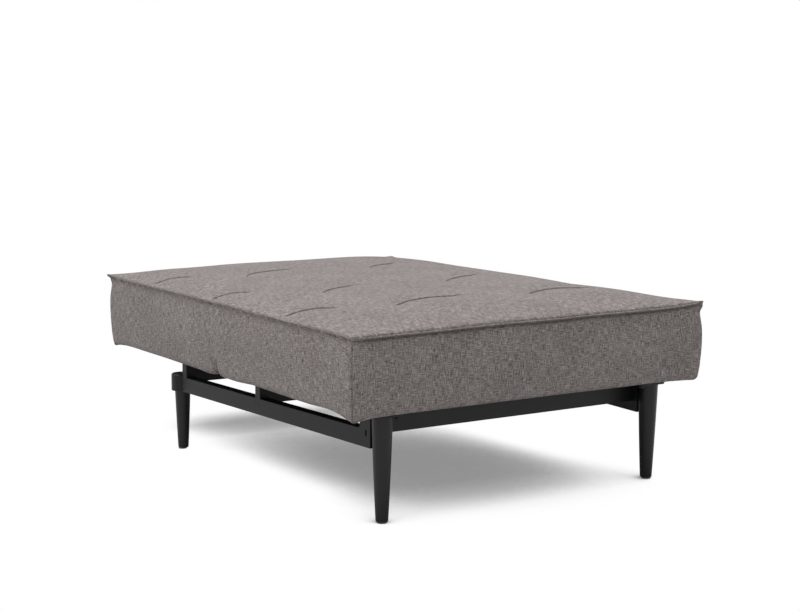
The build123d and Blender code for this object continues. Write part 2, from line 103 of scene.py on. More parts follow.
# How much of the painted shade is missing at the front left corner, where no flange stands
PAINTED_GROOVE_SHADE_LOSS = 0.85

# Soft random waves: their size, how close they lie and, where it is fixed, their layer in the noise
SEAM_WAVE = (0.0012, 7, 3.0)
TOP_WAVE = (0.0015, 5, 0.0)
FLANGE_WAVE = (0.2, 14, 8.0)
SIDE_WAVE = (0.0012, 9)
SIDE_WAVE_DOWN = 14

# At the four corners, front left, front right, rear left and rear right: the height of the sewn seam,
# how far the sides stand out, how far the lower edge hangs down, how far the seam rises towards the
# corner, and how much of an ear stands there
SEAM_CORNERS = (0.3765, 0.3845, 0.3915, 0.3935)
CORNER_PUSHES = (0.0, 0.0075, -0.003, 0.002)
CORNER_DROOPS = (0.004, 0.0, 0.008, 0.008)
CORNER_LIFTS = (0.0, 0.004, 0.0025, 0.0085)
CORNER_EARS = (0.0, 0.9, 0.8, 0.7)
PUSH_REACH = 0.05
DROOP_REACH = 0.06
LIFT_REACH = 0.07
# The seam down each corner begins under the flange, and the cloth is tucked in at its foot
CORNER_SEAM = 0.0032
CORNER_SEAM_WIDTH = 0.0018
CORNER_SEAM_START = 0.008
CORNER_SEAM_FULL = 0.018
CORNER_TUCK = 0.004
CORNER_TUCK_START = 0.82
CORNER_TUCK_REACH = 0.03

# The flange sewn round the top: how far each point stands out and drops, as shares, and the painted shade
# on it
FLANGE_SECTION = (
    (0.03, 0.3, 0.6),
    (0.15, 0.1, 0.55),
    (0.35, 0.06, 0.35),
    (0.6, 0.12, 0.27),
    (0.85, 0.22, 0.27),
    (1.0, 0.36, 0.35),
    (0.97, 0.52, 0.45),
    (0.8, 0.7, 0.5),
    (0.45, 0.88, 0.6),
    (0.05, 1.0, 0.6),
)
FLANGE_UP = 0.0035
FLANGE_OUT = 0.0054
FLANGE_DROP = 0.005
FLANGE_GAP = 0.0004
# It is full in front, slight elsewhere, and fades out with its painted shade at the corner that has no ear
FLANGE_SIDE_SHARE = 0.22
PLAIN_BAND = 0.026
PLAIN_PAINTED_SHADE = 0.15
# An ear pulls the flange out and up at a corner, has a drop of its own and carries less painted shade
EAR_BAND = 0.014
EAR_OUT = 0.0004
EAR_UP = 0.0045
EAR_DROP = 0.4
EAR_PAINTED_SHADE_LOSS = 0.6
# The underside of an ear, from this share of the drop on, falls straight from its tip to the side
EAR_UNDER_START = 0.4
EAR_UNDER_OUT = 0.85
# Below an ear the side stands out as a skirt, over a small hollow
EAR_SKIRT = 0.0078
EAR_SKIRT_DEPTH = 0.02
EAR_HOLLOW = 0.002
EAR_HOLLOW_DEPTH = 0.027
EAR_HOLLOW_REACH = 0.014

# Tuft creases in rows of three: start and end in plan, and how far the middle bows
TUFTS = (
    ((-0.4385, -0.3205), (-0.345, -0.388), 0.025),
    ((-0.246, -0.452), (-0.031, -0.405), 0.033),
    ((0.104, -0.447), (0.317, -0.419), 0.031),
    ((-0.4415, 0.013), (-0.367, -0.043), 0.025),
    ((-0.279, -0.212), (-0.128, -0.112), 0.019),
    ((0.074, -0.186), (0.257, -0.075), 0.021),
    ((-0.439, 0.346), (-0.356, 0.288), 0.026),
    ((-0.271, 0.164), (-0.074, 0.264), 0.042),
    ((0.095, 0.173), (0.244, 0.272), 0.023),
)
TUFTS_IN_ROW = 3
# How dark the painted shade along each crease is
PAINTED_CREASE_SHADES = (0.6, 0.65, 0.6, 0.5, 0.5, 0.5, 0.35, 0.4, 0.4)
# How soon a crease is full from its start and from its end, and how soon its line of painted shade is
CREASE_START = 12
CREASE_END = 7
PAINTED_LINE_START = 3
# The cloth slopes down into a crease from the front and stands up steeply behind it
CREASE_DEPTH = 0.0028
CREASE_SLOPE = 0.022
CREASE_WALL = 0.0014
# The line of painted shade lies this share of the wall behind the deepest place
PAINTED_LINE_SHIFT = 0.35
# A broad dimple lies round each crease and runs out past its ends
DIMPLE_DEPTH = 0.003
DIMPLE_WIDTH = 0.04
DIMPLE_END_SHARE = 0.35
DIMPLE_END_REACH = 0.02
# How many widths from a crease its form is still worked out
CUT_OFF = 4
# Soft rises and hollows of the top: place in plan, rise and reach
HILLS = (
    (-0.26, 0.52, -0.004, 0.09),
    (0.4, 0.3, 0.002, 0.1),
    (0.42, 0.5, -0.003, 0.07),
    (0.4, -0.3, -0.0045, 0.13),
)
# How much sooner than the crown they are full, going in from an edge
HILL_START = 4

# The top's mesh: a band of closer lines along the edges, columns, and rows between and beside the creases
EDGE_BAND = 0.036
EDGE_ROWS = (0.0, 0.0012, 0.0024, 0.004, 0.007, 0.01, 0.014, 0.018, 0.022, 0.026, 0.031)
COLUMN_STEP = 0.0062
BAND_ROWS = (22, 36, 40, 34)
CREASE_ROWS = (0.0006, 0.0013, 0.0022, 0.0034, 0.005, 0.0075, 0.011, 0.016)
# How often the place on a bowed line is improved
BOW_STEPS = 14

# How far the lower edge rises along the front and along the front half of the sides
FRONT_LIFT = 0.0027
FRONT_LIFT_RUN = 0.05
SIDE_LIFT = 0.0045
SIDE_LIFT_START = -0.1
SIDE_LIFT_RUN = 0.1
SIDE_LIFT_END_RUN = 0.06
# A small further rise near the front ends of the sides
ARCH_LIFT = 0.003
ARCH_Y = -0.51
ARCH_REACH = 0.05

# The fold on the sides: its seam, which pulls the side in
FOLD_SEAM_Y = 0.004
FOLD_SEAM = 0.0016
FOLD_SEAM_WIDTH = 0.0022
FOLD_PULL = 0.003
FOLD_PULL_WIDTH = 0.03
# The tuck at its foot goes in and up
FOLD_TUCK_Y = -0.012
FOLD_TUCK_WIDTH = 0.012
FOLD_TUCK_IN = 0.012
FOLD_TUCK_START = 0.8
FOLD_TUCK_UP = 0.02
# The cloth sags behind the tuck; both stay near the sides
FOLD_SAG_Y = 0.03
FOLD_SAG_WIDTH = 0.035
FOLD_SAG = 0.002
FOLD_BAND = 0.03

# The cloth's own coordinates: steps from ring to ring on the flange and the underside, and the sides' start
FLANGE_CLOTH_STEP = 0.0015
UNDERSIDE_CLOTH_STEP = 0.03
SIDE_CLOTH_START = 0.01

# Turned legs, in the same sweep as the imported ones
LEG_FOOT = 0.0125
LEG_TOP = 0.021
LEG_SWELL = 0.0006
LEG_HEIGHT = 0.213
LEG_WIDEST = LEG_TOP + 0.0002
LEG_ROUNDING = 0.0016
LEG_ROUND_STEPS = 6
LEG_LENGTH_STEPS = 24
LEG_SIDES = 64

# Faces that meet at more than this are seen as an edge
SHARP_ANGLE = radians(62)


# Helpers
def smooth(t):
    """A soft step: 0 up to 0, 1 from 1 on."""
    t = min(max(t, 0.0), 1.0)
    return t * t * (3 - 2 * t)


def ramp(value, start, full):
    """A soft rise from 0 at the start to 1 where it is full."""
    return smooth((value - start) / (full - start))


def mix(a, b, t):
    """The value a share t of the way from a to b."""
    return a + (b - a) * t


def bell(x, width):
    """1 at 0, fading out on both sides over the width."""
    return exp(-((x / width) ** 2))


def bow_share(t):
    """A parabola: 0 at both ends, 1 in the middle."""
    return 4 * t * (1 - t)


def wave(x, y, size, scale, layer):
    """A soft random wave; another layer gives another wave."""
    return size * noise.noise(Vector((x * scale, y * scale, layer)))


def new_object(name, bm):
    """A mesh object with smooth faces, made from a bmesh."""
    mesh = bpy.data.meshes.new(name)
    bm.normal_update()
    bm.to_mesh(mesh)
    bm.free()
    mesh.polygons.foreach_set("use_smooth", [True] * len(mesh.polygons))
    mesh.set_sharp_from_angle(angle=SHARP_ANGLE)
    thing = bpy.data.objects.new(name, mesh)
    bpy.context.scene.collection.objects.link(thing)
    return thing


def dress(thing, material):
    """Gives an object one material."""
    thing.data.materials.clear()
    thing.data.materials.append(material)


# Places on the cover
def corner_index(x, y):
    """Place of the nearest corner in the lists of the four corners."""
    return (1 if x > 0 else 0) + (2 if y > 0 else 0)


def edge_gaps(x, y):
    """How far a place lies in from the nearer side and from the nearer end."""
    return HALF_WIDTH - abs(x), HALF_LENGTH - abs(y)


def corner_gap(x, y, normal):
    """How far a place on an edge lies from the edge's nearer corner."""
    from_side, from_end = edge_gaps(x, y)
    return from_end if abs(normal.x) > 0.5 else from_side


def nearest_front(x, y):
    """Whether the front edge is nearer than the sides."""
    return HALF_LENGTH + y < HALF_WIDTH - abs(x)


def flange_share(front):
    """How much of the flange and its groove there is, in front or elsewhere."""
    return 1.0 if front else FLANGE_SIDE_SHARE


def ear_share(x, y, gap):
    """How much of an ear there is, so far from the corner."""
    return bell(gap, EAR_BAND) * CORNER_EARS[corner_index(x, y)]


def draw_in(x, y):
    """Plan position with the sides drawn in between the corners."""
    pull_x = 1 - SIDE_DRAW / HALF_WIDTH * (1 - (y / HALF_LENGTH) ** 2)
    pull_y = 1 - SIDE_DRAW / HALF_LENGTH * (1 - (x / HALF_WIDTH) ** 2)
    return x * pull_x, y * pull_y


# Shape of the top
def seam_height(x, y):
    """Height of the sewn seam, carried on across the top."""
    across = (x / HALF_WIDTH + 1) / 2
    along = (y / HALF_LENGTH + 1) / 2
    front = mix(SEAM_CORNERS[0], SEAM_CORNERS[1], across)
    rear = mix(SEAM_CORNERS[2], SEAM_CORNERS[3], across)
    from_side, from_end = edge_gaps(x, y)
    lift = CORNER_LIFTS[corner_index(x, y)] * bell(from_side, LIFT_REACH) * bell(from_end, LIFT_REACH)
    return mix(front, rear, along) + wave(x, y, *SEAM_WAVE) + lift


def crown_share(from_edge):
    """How much of the crown there is, so far in from an edge."""
    return 1 - (1 - min(max(from_edge, 0.0), CROWN_BAND) / CROWN_BAND) ** CROWN_POWER


def tuft_distance(x, y, tuft):
    """Distance behind a crease, negative in front; its fade towards its ends; how far past an end."""
    (x0, y0), (x1, y1), bow = tuft
    length = hypot(x1 - x0, y1 - y0)
    ux, uy = (x1 - x0) / length, (y1 - y0) / length
    along = ((x - x0) * ux + (y - y0) * uy) / length
    inside = min(max(along, 0.0), 1.0)
    side = -(x - x0) * uy + (y - y0) * ux - bow * bow_share(inside)
    fade = smooth(CREASE_START * inside) * smooth(CREASE_END * (1 - inside))
    return side, fade, max(-along, along - 1, 0.0) * length


def painted_crease_shade(x, y):
    """How much painted shade darkens the cloth in a crease or beside the flange, from 0 to 1."""
    deepest = PAINTED_VALLEY_SHADE * flange_share(nearest_front(x, y)) * bell(min(edge_gaps(x, y)), VALLEY_WIDTH)
    for tuft, shade in zip(TUFTS, PAINTED_CREASE_SHADES):
        side, fade, beyond = tuft_distance(x, y, tuft)
        if abs(side) < CUT_OFF * CREASE_WALL and beyond == 0:
            line = bell(side - PAINTED_LINE_SHIFT * CREASE_WALL, CREASE_WALL)
            deepest = max(deepest, shade * smooth(PAINTED_LINE_START * fade) * line)
    return deepest


def top_height(x, y):
    """Height of the top, with its valley, crown, hills, dimples and creases."""
    from_side, from_end = edge_gaps(x, y)
    valley = VALLEY_DEPTH * (1.0 if nearest_front(x, y) else VALLEY_SIDE_SHARE)
    share = crown_share(from_side) * crown_share(from_end)
    z = seam_height(x, y) + RIM_UP - valley * exp(-min(from_side, from_end) / VALLEY_WIDTH)
    z += share * (CROWN + wave(x, y, *TOP_WAVE))
    for hill_x, hill_y, rise, reach in HILLS:
        z += rise * smooth(share * HILL_START) * bell(hypot(x - hill_x, y - hill_y), reach)
    for tuft in TUFTS:
        side, fade, beyond = tuft_distance(x, y, tuft)
        if hypot(side, beyond) < CUT_OFF * DIMPLE_WIDTH:
            strength = mix(DIMPLE_END_SHARE, 1, fade) * bell(beyond, DIMPLE_END_REACH)
            z -= DIMPLE_DEPTH * strength * bell(side, DIMPLE_WIDTH)
            z -= CREASE_DEPTH * fade * (exp(side / CREASE_SLOPE) if side < 0 else bell(side, CREASE_WALL))
    return z


# Lines of the top's mesh
def column_lines():
    """Places of the mesh columns, closer together near the sides."""
    edge = HALF_WIDTH - EDGE_BAND
    count = round(2 * edge / COLUMN_STEP)
    lines = [-HALF_WIDTH + d for d in EDGE_ROWS]
    lines += [mix(-edge, edge, k / count) for k in range(count)]
    return lines + [HALF_WIDTH - d for d in reversed((*EDGE_ROWS, EDGE_BAND))]


def crease_line(x, creases):
    """The y of a line across the top that runs along the creases of a row and on between them."""
    before = None
    for (x0, y0), (x1, y1), bow in creases:
        if x < x0:
            if before is None:
                return y0
            return mix(before[1], y0, ramp(x, before[0], x0))
        if x <= x1:
            length = hypot(x1 - x0, y1 - y0)
            ux, uy = (x1 - x0) / length, (y1 - y0) / length
            share = (x - x0) / (x1 - x0)
            for _ in range(BOW_STEPS):
                share = (x - x0 + uy * bow * bow_share(share)) / (x1 - x0)
            return mix(y0, y1, share) + ux * bow * bow_share(share)
        before = (x1, y1)
    return before[1]


def row_lines(x):
    """The places of the mesh rows at x, from front to rear, with rows along every crease."""
    edge = HALF_LENGTH - EDGE_BAND
    lines = [-HALF_LENGTH + d for d in EDGE_ROWS]
    low = -edge
    for row, count in enumerate(BAND_ROWS[:-1]):
        line = crease_line(x, TUFTS[TUFTS_IN_ROW * row : TUFTS_IN_ROW * (row + 1)])
        high = line - CREASE_ROWS[-1]
        lines += [mix(low, high, k / count) for k in range(count)]
        lines += [line - d for d in reversed(CREASE_ROWS)]
        lines += [line] + [line + d for d in CREASE_ROWS[:-1]]
        low = line + CREASE_ROWS[-1]
    lines += [mix(low, edge, k / BAND_ROWS[-1]) for k in range(BAND_ROWS[-1])]
    return lines + [HALF_LENGTH - d for d in reversed(EDGE_ROWS)]


# Shape of the sides
def perimeter(xs, left_ys, right_ys):
    """Round the rectangle: plan position and outward normal."""
    loop = [(x, -HALF_LENGTH, Vector((0, -1))) for x in xs[:-1]]
    loop += [(HALF_WIDTH, y, Vector((1, 0))) for y in right_ys[:-1]]
    loop += [(x, HALF_LENGTH, Vector((0, 1))) for x in reversed(xs[1:])]
    return loop + [(-HALF_WIDTH, y, Vector((-1, 0))) for y in reversed(left_ys[1:])]


def rounded_place(x, y, normal):
    """The point of the rounded plan that matches one of the sharp plan, and its outward direction."""
    gap = corner_gap(x, y, normal)
    if gap >= CORNER_RADIUS:
        return Vector(draw_in(x, y)), normal
    corner = Vector((HALF_WIDTH if x > 0 else -HALF_WIDTH, HALF_LENGTH if y > 0 else -HALF_LENGTH))
    inward = Vector((-1 if corner.x > 0 else 1, -1 if corner.y > 0 else 1))
    turn = pi / 4 * (1 - gap / CORNER_RADIUS)
    other = Vector((0, -inward.y)) if abs(normal.x) > 0.5 else Vector((-inward.x, 0))
    way = normal * cos(turn) + other * sin(turn)
    return corner + inward * CORNER_RADIUS + way * CORNER_RADIUS, way


def side_profile():
    """Down the side from the flange: depth below the seam and outward offset."""
    for depth in SIDE_DEPTHS:
        bulge = BULGE * sin(pi * min(max((depth - BULGE_START) / BULGE_HEIGHT, 0.0), 1.0))
        waist = WAIST * bell(depth - WAIST_DEPTH, WAIST_REACH)
        yield depth, bulge - waist - GROOVE * bell(depth - SIDE_DEPTHS[0], GROOVE_REACH)
    for step in range(1, BOTTOM_STEPS + 1):
        angle = pi / 2 * step / BOTTOM_STEPS
        yield SIDE_HEIGHT - BOTTOM_RADIUS * (1 - sin(angle)), -BOTTOM_RADIUS * (1 - cos(angle))


def side_detail(x, y, normal, depth):
    """Small offsets of the side: soft waves, the fold's seam, and the corners' seams, ears and tucks."""
    share = depth / SIDE_HEIGHT
    out = wave(x, y, *SIDE_WAVE, depth * SIDE_WAVE_DOWN)
    if normal.y > -0.5:
        out += GROOVE_LOSS * GROOVE * bell(depth - SIDE_DEPTHS[0], GROOVE_REACH)
    if abs(normal.x) > 0.5:
        out -= FOLD_SEAM * bell(y - FOLD_SEAM_Y, FOLD_SEAM_WIDTH)
        out -= FOLD_PULL * share * bell(y - FOLD_SEAM_Y, FOLD_PULL_WIDTH)
        out -= FOLD_TUCK_IN * ramp(share, FOLD_TUCK_START, 1) * bell(y - FOLD_TUCK_Y, FOLD_TUCK_WIDTH)
    corner = corner_index(x, y)
    gap = corner_gap(x, y, normal)
    out -= CORNER_SEAM * bell(gap, CORNER_SEAM_WIDTH) * ramp(depth, CORNER_SEAM_START, CORNER_SEAM_FULL)
    skirt = EAR_SKIRT * (1 - smooth(depth / EAR_SKIRT_DEPTH))
    hollow = EAR_HOLLOW * bell(depth - EAR_HOLLOW_DEPTH, EAR_HOLLOW_REACH)
    out += ear_share(x, y, gap) * (skirt - hollow)
    out += CORNER_PUSHES[corner] * bell(gap, PUSH_REACH)
    tuck = CORNER_TUCK * CORNER_EARS[corner] * bell(gap, CORNER_TUCK_REACH)
    return out - tuck * ramp(share, CORNER_TUCK_START, 1)


def side_lift(x, y, depth):
    """How far the side is raised or lowered there, which grows towards its lower edge."""
    from_side, from_end = edge_gaps(x, y)
    lift = -CORNER_DROOPS[corner_index(x, y)] * bell(from_side, DROOP_REACH) * bell(from_end, DROOP_REACH)
    if nearest_front(x, y):
        lift += FRONT_LIFT * smooth(from_side / FRONT_LIFT_RUN)
    else:
        rise = smooth((SIDE_LIFT_START - y) / SIDE_LIFT_RUN)
        lift += SIDE_LIFT * rise * smooth((y + HALF_LENGTH) / SIDE_LIFT_END_RUN)
        lift += ARCH_LIFT * bell(y - ARCH_Y, ARCH_REACH)
    if from_side < FOLD_BAND:
        lift += FOLD_TUCK_UP * bell(y - FOLD_TUCK_Y, FOLD_TUCK_WIDTH)
        lift -= FOLD_SAG * bell(y - FOLD_SAG_Y, FOLD_SAG_WIDTH)
    return lift * smooth(depth / SIDE_HEIGHT)


# The cover, whose rings all follow one plan
def cover_top(bm, uv, xs, columns):
    """The faces of the top; gives its border as a ring."""
    grid = []
    for x, ys in zip(xs, columns):
        grid.append([bm.verts.new((*draw_in(x, y), top_height(x, y))) for y in ys])
    for i in range(len(xs) - 1):
        for j in range(len(columns[0]) - 1):
            spots = ((i, j), (i + 1, j), (i + 1, j + 1), (i, j + 1))
            face = bm.faces.new([grid[column][row] for column, row in spots])
            for loop, (column, row) in zip(face.loops, spots):
                loop[uv].uv = (xs[column], columns[column][row])
    border = [column[0] for column in grid[:-1]] + grid[-1][:-1]
    return border + [column[-1] for column in reversed(grid[1:])] + list(reversed(grid[0][1:]))


def flange_ring(bm, plan, painted_shades, out_share, drop_share, shade):
    """A ring of the flange, for one point of its section; adds its painted shade to the list."""
    ring = []
    for x, y, normal in plan:
        gap = corner_gap(x, y, normal)
        ear = ear_share(x, y, gap)
        plain = 1 - bell(gap, PLAIN_BAND) * (1 - CORNER_EARS[corner_index(x, y)])
        stand = mix(flange_share(normal.y < -0.5), 1, ear)
        ripple = 1 + wave(x, y, *FLANGE_WAVE)
        reach = mix(out_share, 1, EAR_UNDER_OUT * ear) if drop_share > EAR_UNDER_START else out_share
        out = (FLANGE_OUT * stand * plain * ripple + EAR_OUT * ear) * reach + FLANGE_GAP
        drop = FLANGE_DROP * mix(stand, EAR_DROP, ear) * ripple * drop_share
        # Painted shade on the flange: deepest on its inner face and under its edge, less at ears and at the
        # plain corner
        painted_shades.append(shade * stand * mix(PLAIN_PAINTED_SHADE, 1, plain) * (1 - EAR_PAINTED_SHADE_LOSS * ear))
        way = Vector((1 if x > 0 else -1, 1 if y > 0 else -1)) if gap == 0 else normal
        spot = Vector(draw_in(x, y)) + way * out
        ring.append(bm.verts.new((*spot, seam_height(x, y) + FLANGE_UP - drop + EAR_UP * ear * out_share)))
    return ring


def side_ring(bm, plan, painted_shades, depth, out):
    """A ring of the sides, for one depth below the seam; adds its painted shade, in the groove under the
    flange, to the list.
    """
    ring = []
    for x, y, normal in plan:
        place, way = rounded_place(x, y, normal)
        spot = place + way * (out + side_detail(x, y, normal, depth))
        # Painted shade in the groove under the flange: mostly in front, and fading at the front left corner
        plain = bell(hypot(x + HALF_WIDTH, y + HALF_LENGTH), PLAIN_BAND)
        shade = PAINTED_GROOVE_SHADE * flange_share(normal.y < -0.5) * (1 - PAINTED_GROOVE_SHADE_LOSS * plain)
        painted_shades.append(shade * bell(depth - SIDE_DEPTHS[0], PAINTED_GROOVE_SHADE_REACH))
        seam = seam_height(x, y)
        z = seam - depth * (seam - BOTTOM) / SIDE_HEIGHT
        ring.append(bm.verts.new((*spot, z + side_lift(x, y, depth))))
    return ring


def underside_rings(bm, plan, edge):
    """Rings from the lower edge in to the pocket for the frames, and up the pocket's wall."""
    between, rim, ceiling = [], [], []
    for vert, (x, y, _) in zip(edge, plan):
        inner = Vector((x * POCKET_X / HALF_WIDTH, y * POCKET_Y / HALF_LENGTH))
        between.append((*vert.co.xy.lerp(inner, UNDERSIDE_IN), mix(vert.co.z, BOTTOM, UNDERSIDE_DOWN)))
        rim.append((*inner, BOTTOM + POCKET_RIM_UP))
        ceiling.append((*inner, POCKET_TOP))
    return [[bm.verts.new(spot) for spot in ring] for ring in (between, rim, ceiling)]


def join_rings(bm, uv, plan, rings):
    """Faces between neighbouring rings, each given with its place down the cloth."""
    total = len(plan)
    run = [0.0]
    for k in range(total):
        (x0, y0, _), (x1, y1, _) = plan[k], plan[(k + 1) % total]
        run.append(run[-1] + hypot(x0 - x1, y0 - y1))
    for (upper, v0), (lower, v1) in zip(rings, rings[1:]):
        for k in range(total):
            n = (k + 1) % total
            face = bm.faces.new((upper[k], lower[k], lower[n], upper[n]))
            spots = ((run[k], -v0), (run[k], -v1), (run[k + 1], -v1), (run[k + 1], -v0))
            for loop, spot in zip(face.loops, spots):
                loop[uv].uv = spot


def close_pocket(bm, ring, count_x, count_y):
    """The ceiling of the pocket, in strips from side to side."""
    right = ring[count_x - 1 : count_x - 1 + count_y]
    left = [ring[0]] + ring[: len(ring) - count_y : -1]
    front = ring[:count_x]
    rear = ring[count_x + count_y - 2 : 2 * count_x + count_y - 2]
    bm.faces.new(front + [right[1], left[1]])
    for j in range(1, count_y - 2):
        bm.faces.new((left[j], right[j], right[j + 1], left[j + 1]))
    bm.faces.new([left[-2], right[-2]] + rear)


def make_cover():
    """One sewn cover over both cushions, with its creases, flange, sides and underside."""
    xs = column_lines()
    columns = [row_lines(x) for x in xs]
    plan = perimeter(xs, columns[0], columns[-1])
    bm = bmesh.new()
    uv = bm.loops.layers.uv.new("cloth")
    rings = [(cover_top(bm, uv, xs, columns), 0.0)]
    painted_shades = [painted_crease_shade(x, y) for x, ys in zip(xs, columns) for y in ys]
    # The flange: up its inner face, over its edge and back under
    for section in FLANGE_SECTION:
        rings.append((flange_ring(bm, plan, painted_shades, *section), FLANGE_CLOTH_STEP * len(rings)))
    for depth, out in side_profile():
        rings.append((side_ring(bm, plan, painted_shades, depth, out), SIDE_CLOTH_START + depth))
    for ring in underside_rings(bm, plan, rings[-1][0]):
        rings.append((ring, rings[-1][1] + UNDERSIDE_CLOTH_STEP))
    join_rings(bm, uv, plan, rings)
    close_pocket(bm, rings[-1][0], len(xs), len(columns[0]))
    bmesh.ops.recalc_face_normals(bm, faces=bm.faces)
    cover = new_object("mattress_cover", bm)
    # The painted shade of the creases, valley, flange and groove goes into an attribute that darkens the
    # cloth's colour
    painted_shade_layer = cover.data.attributes.new("painted_seam_shade", "FLOAT", "POINT")
    painted_shades += [0.0] * (len(cover.data.vertices) - len(painted_shades))
    painted_shade_layer.data.foreach_set("value", painted_shades)
    return cover


# Legs
def turned_leg(bm, x, y, low, high):
    """A leg turned round its own upright line, with a rounded foot."""
    profile = []
    for step in range(LEG_ROUND_STEPS + 1):
        angle = pi / 2 * step / LEG_ROUND_STEPS
        profile.append((low + LEG_ROUNDING * (1 - cos(angle)), LEG_ROUNDING * (1 - sin(angle))))
    for step in range(1, LEG_LENGTH_STEPS + 1):
        profile.append((mix(low + LEG_ROUNDING, high, step / LEG_LENGTH_STEPS), 0.0))
    turns = [2 * pi * k / LEG_SIDES for k in range(LEG_SIDES)]
    rings = []
    for z, cut in profile:
        share = z / LEG_HEIGHT
        radius = mix(LEG_FOOT, LEG_TOP, share) + LEG_SWELL * bow_share(share) - cut
        rings.append([bm.verts.new((x + radius * cos(turn), y + radius * sin(turn), z)) for turn in turns])
    for lower, upper in zip(rings, rings[1:]):
        for k in range(LEG_SIDES):
            n = (k + 1) % LEG_SIDES
            bm.faces.new((lower[k], lower[n], upper[n], upper[k]))
    bm.faces.new(list(reversed(rings[0])))
    bm.faces.new(rings[-1])


def make_legs(name, node):
    """Both legs of a pair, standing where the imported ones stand."""
    low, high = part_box(node)
    bm = bmesh.new()
    reach_x = (high[0] - low[0]) / 2
    for side in (-1, 1):
        x = side * (reach_x - LEG_WIDEST)
        turned_leg(bm, x, (low[1] + high[1]) / 2, low[2], high[2])
    legs = new_object(name, bm)
    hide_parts(node)
    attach(legs, "base")
    return legs


# Shader nodes
COLOR, FLOAT, VECTOR = "NodeSocketColor", "NodeSocketFloat", "NodeSocketVector"
NOISE_MIDDLE = 0.5


def rgb(r, g, b):
    """A colour that is not see-through."""
    return (r, g, b, 1.0)


def shader_tree(name):
    """A new material with a Principled shader: the material, its tree and the shader."""
    material = bpy.data.materials.new(name)
    material.use_nodes = True
    tree = material.node_tree
    return material, tree, tree.nodes["Principled BSDF"]


def put(tree, kind, inputs=None, **settings):
    """A node with its settings and its sockets' values or links."""
    node = tree.nodes.new(kind)
    for key, value in settings.items():
        setattr(node, key, value)
    for key, value in (inputs or {}).items():
        if isinstance(value, bpy.types.NodeSocket):
            tree.links.new(value, node.inputs[key])
        else:
            node.inputs[key].default_value = value
    return node


def compute(tree, kind, a, b=0.0, clamp=False):
    """A sum, a product or another result from one or two values."""
    return put(tree, "ShaderNodeMath", {0: a, 1: b}, operation=kind, use_clamp=clamp).outputs[0]


def swing(tree, value, size, middle=NOISE_MIDDLE):
    """A value's distance from the middle, times a size."""
    return compute(tree, "MULTIPLY", compute(tree, "SUBTRACT", value, middle), size)


def scaled(tree, place, stretch):
    """A place with each of its coordinates times its own share."""
    return put(tree, "ShaderNodeVectorMath", {0: place, 1: stretch}, operation="MULTIPLY").outputs[0]


def speckle(tree, place, scale, detail, roughness=0.5):
    """Noise at a place, from 0 to 1."""
    settings = {"Vector": place, "Scale": scale, "Detail": detail, "Roughness": roughness}
    return put(tree, "ShaderNodeTexNoise", settings).outputs["Fac"]


def remap(tree, value, start, end, first=0.0, last=1.0):
    """A value carried from one range, start to end, to another, first to last."""
    ranges = {"Value": value, "From Min": start, "From Max": end, "To Min": first, "To Max": last}
    return put(tree, "ShaderNodeMapRange", ranges).outputs[0]


def mix_colors(tree, share, a, b):
    """The colour a share of the way from a to b."""
    # The node has other sockets, in front of these, for plain values and for vectors
    return put(tree, "ShaderNodeMix", {"Factor": share, 6: a, 7: b}, data_type="RGBA").outputs[2]


def effect(name, inputs, outputs):
    """An empty shader group with named sockets: the tree, its inputs and its outputs."""
    tree = bpy.data.node_groups.new(name, "ShaderNodeTree")
    for label, kind, value in inputs:
        socket = tree.interface.new_socket(label, in_out="INPUT", socket_type=kind)
        if value is not None:
            socket.default_value = value
    for label, kind in outputs:
        tree.interface.new_socket(label, in_out="OUTPUT", socket_type=kind)
    given = tree.nodes.new("NodeGroupInput")
    result = tree.nodes.new("NodeGroupOutput")
    return tree, given.outputs, result.inputs


def use(tree, group, **inputs):
    """Places a group in a material; the names of its inputs are single words."""
    return put(tree, "ShaderNodeGroup", inputs, node_tree=group)


# The weave: how much of the lower thread shows through, and how long each thread's shades are drawn out
THREAD_SHOW = 0.4
YARN_STRETCHES = ((1.0, 0.065, 1.0), (0.07, 1.0, 1.0))
YARN_SCALE = 850.0
YARN_DETAIL = 3.0
YARN_ROUGHNESS = 0.8
YARN_CONTRAST = 2.5
# Broad soft patches over many threads
PATCH_SCALE = 9.0
PATCH_DETAIL = 3.0
PATCH_CONTRAST = 0.12
# The shades over which dark yarn turns into middling and middling into light
DARK_TO_MIDDLE = (0.3, 0.5)
MIDDLE_TO_LIGHT = (0.52, 0.72)
# The weave's relief: the threads' crossings, the yarn's own unevenness, and its depth
CREST_RELIEF = 0.6
YARN_RELIEF = 0.8
WEAVE_DEPTH = 0.0006


